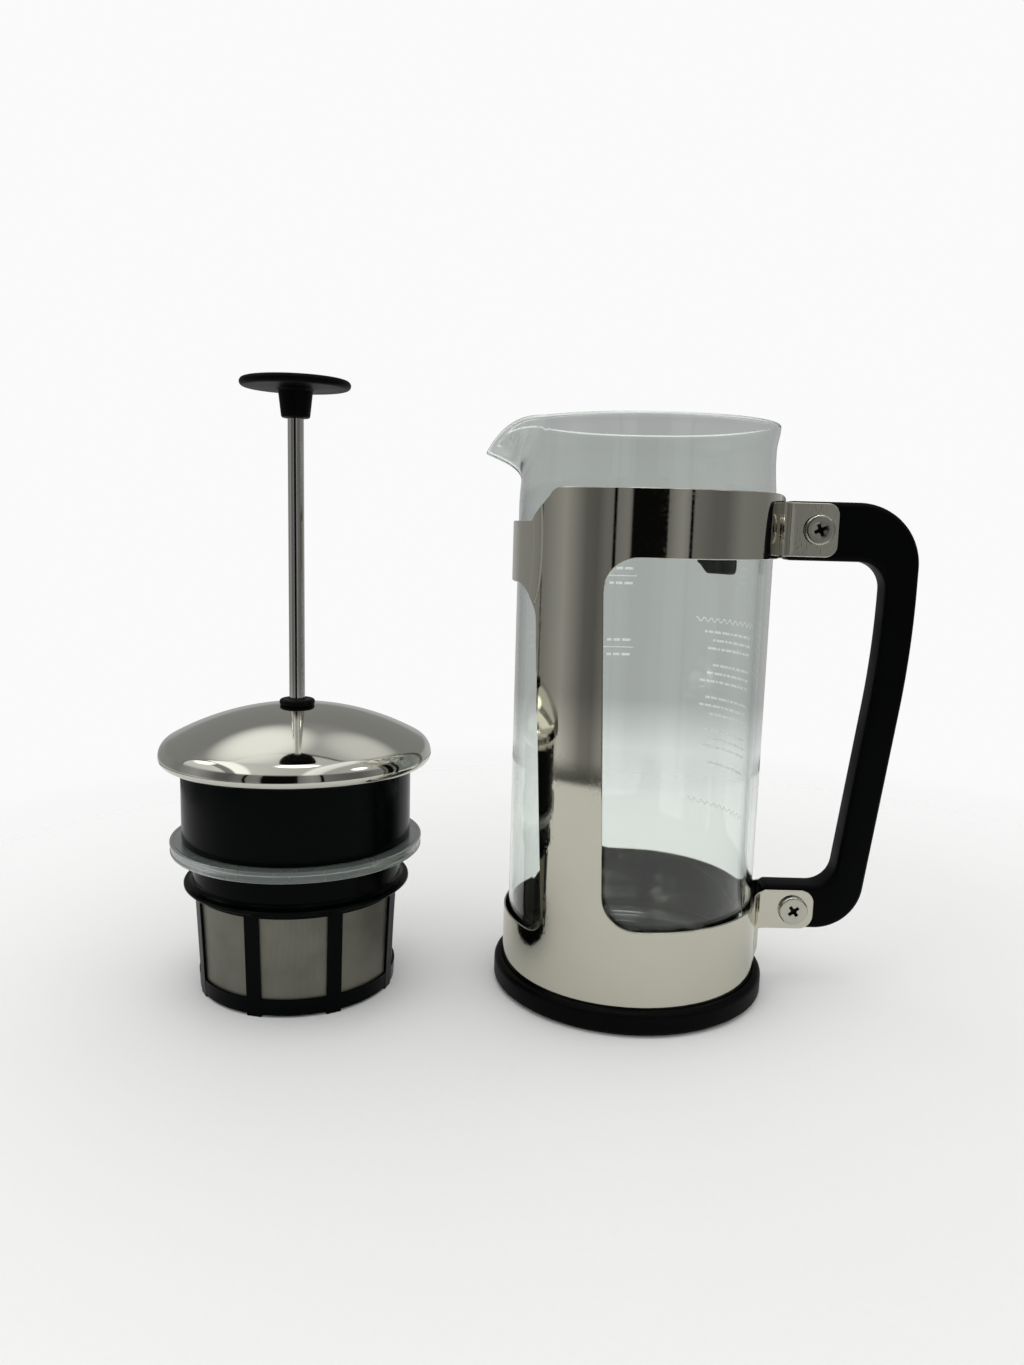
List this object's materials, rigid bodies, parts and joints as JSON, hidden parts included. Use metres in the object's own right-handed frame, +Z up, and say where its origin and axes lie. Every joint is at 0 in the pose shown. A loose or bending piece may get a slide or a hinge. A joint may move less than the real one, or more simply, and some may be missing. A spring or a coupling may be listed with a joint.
{
  "type": "french press",
  "caption": "Tall glass beaker with a spout in a windowed steel frame with a bolted side handle, and its plunger with domed lid, lip seal and nested mesh baskets standing beside it.",
  "frame": {"origin": "centre of the beaker's base on the surface it stands on", "axes": "+Z up along the beaker's axis, +X from the beaker to its handle, -X towards the spout and the plunger that stands beside it, +Y completes a right-handed frame"},
  "size_m": [0.2909, 0.1138, 0.2344],
  "materials": {
    "mirror_steel": "mirror-polished stainless sheet",
    "satin_steel": "satin machined",
    "rod_steel": "polished drawn rod",
    "base_plastic": "soft satin",
    "handle_plastic": "satin moulded",
    "black_plastic": "semi-gloss moulded",
    "black_rubber": "smooth",
    "silicone": "translucent satin silicone",
    "clear_glass": "clear borosilicate",
    "fine_mesh": "fine woven cloth",
    "brass": "turned"
  },
  "bodies": {
    "holder": {"holder_frame": "mirror_steel", "base_cap": "base_plastic", "glass_seat": "black_rubber", "handle": "handle_plastic", "handle_screws": "satin_steel", "sleeve_nuts": "satin_steel"},
    "lock": {"glass_lock": "black_plastic", "lock_keeper": "satin_steel"},
    "glass": {"beaker": "clear_glass"},
    "plunger": {"knob": "black_plastic", "knob_insert": "brass", "rod": "rod_steel", "rod_nut": "satin_steel", "inner_frame": "black_plastic", "inner_mesh": "fine_mesh", "inner_floor_mesh": "fine_mesh"},
    "basket": {"outer_frame": "black_plastic", "outer_mesh": "fine_mesh", "outer_floor_mesh": "fine_mesh", "lip_seal": "silicone"},
    "lid_bearing": {"lid_grommet": "black_rubber", "lid_bush": "black_plastic"},
    "lid": {"lid_dome": "mirror_steel", "lid_skirt": "black_plastic"}
  },
  "joints": [
    {"name": "glass_lift", "type": "slide", "parent": "holder", "child": "glass", "axis": [0, 0, 1], "range_m": [0, 0.2]},
    {"name": "lock_turn", "type": "hinge", "parent": "holder", "child": "lock", "pos_m": [0, 0, 0.178], "axis": [0, 0, 1], "range_deg": [-10, 0]},
    {"name": "plunger_lift", "type": "slide", "parent": "holder", "child": "plunger", "axis": [0, 0, 1], "range_m": [0, 0.23]},
    {"name": "basket_twist", "type": "hinge", "parent": "plunger", "child": "basket", "pos_m": [-0.1333, -0.0075, 0.05], "axis": [0, 0, 1], "range_deg": [-25, 0]},
    {"name": "lid_slide", "type": "slide", "parent": "plunger", "child": "lid_bearing", "axis": [0, 0, 1], "range_m": [0, 0.106]},
    {"name": "lid_turn", "type": "hinge", "parent": "lid_bearing", "child": "lid", "pos_m": [-0.1333, -0.0075, 0.1], "axis": [0, 0, 1], "continuous": true}
  ]
}
